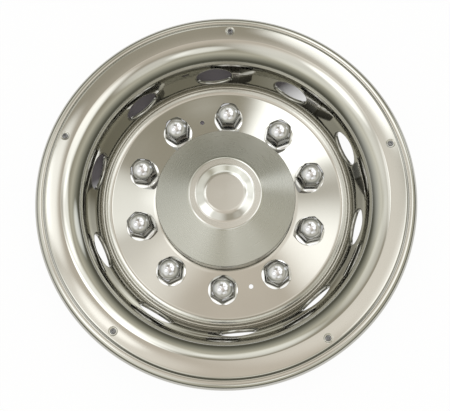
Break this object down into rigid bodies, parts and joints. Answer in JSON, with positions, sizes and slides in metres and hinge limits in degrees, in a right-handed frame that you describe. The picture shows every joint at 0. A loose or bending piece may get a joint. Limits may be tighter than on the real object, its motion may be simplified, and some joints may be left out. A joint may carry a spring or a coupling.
{
  "type": "truck wheel simulator",
  "caption": "Polished stainless wheel simulator for a truck: a deep dish with oval hand holes, a conical hub cap, domed nut covers and rim clips.",
  "frame": {"origin": "on the wheel's axis, in the plane of the lowest rings behind the face", "axes": "+Z along the wheel's axis, out of the wheel; +Y through the first nut cover"},
  "size_m": [0.585, 0.585, 0.0792],
  "materials": {
    "dish": "mirror-polished stainless steel",
    "hub_cap": "polished stainless steel, a little softer than the dish",
    "nut_covers": "bright chrome plate",
    "rivets": "plain",
    "clips": "plain spring steel"
  },
  "bodies": {
    "root": {"dish": "dish", "hub_cap": "hub_cap", "lug_cover_01": "nut_covers", "lug_cover_02": "nut_covers", "lug_cover_03": "nut_covers", "lug_cover_04": "nut_covers", "lug_cover_05": "nut_covers", "lug_cover_06": "nut_covers", "lug_cover_07": "nut_covers", "lug_cover_08": "nut_covers", "lug_cover_09": "nut_covers", "lug_cover_10": "nut_covers", "clip_rivet_1": "rivets", "clip_rivet_2": "rivets", "clip_rivet_3": "rivets", "clip_rivet_4": "rivets", "clip_rivet_5": "rivets", "rim_clip_1": "clips", "rim_clip_2": "clips", "rim_clip_3": "clips", "rim_clip_4": "clips", "rim_clip_5": "clips"}
  },
  "joints": []
}
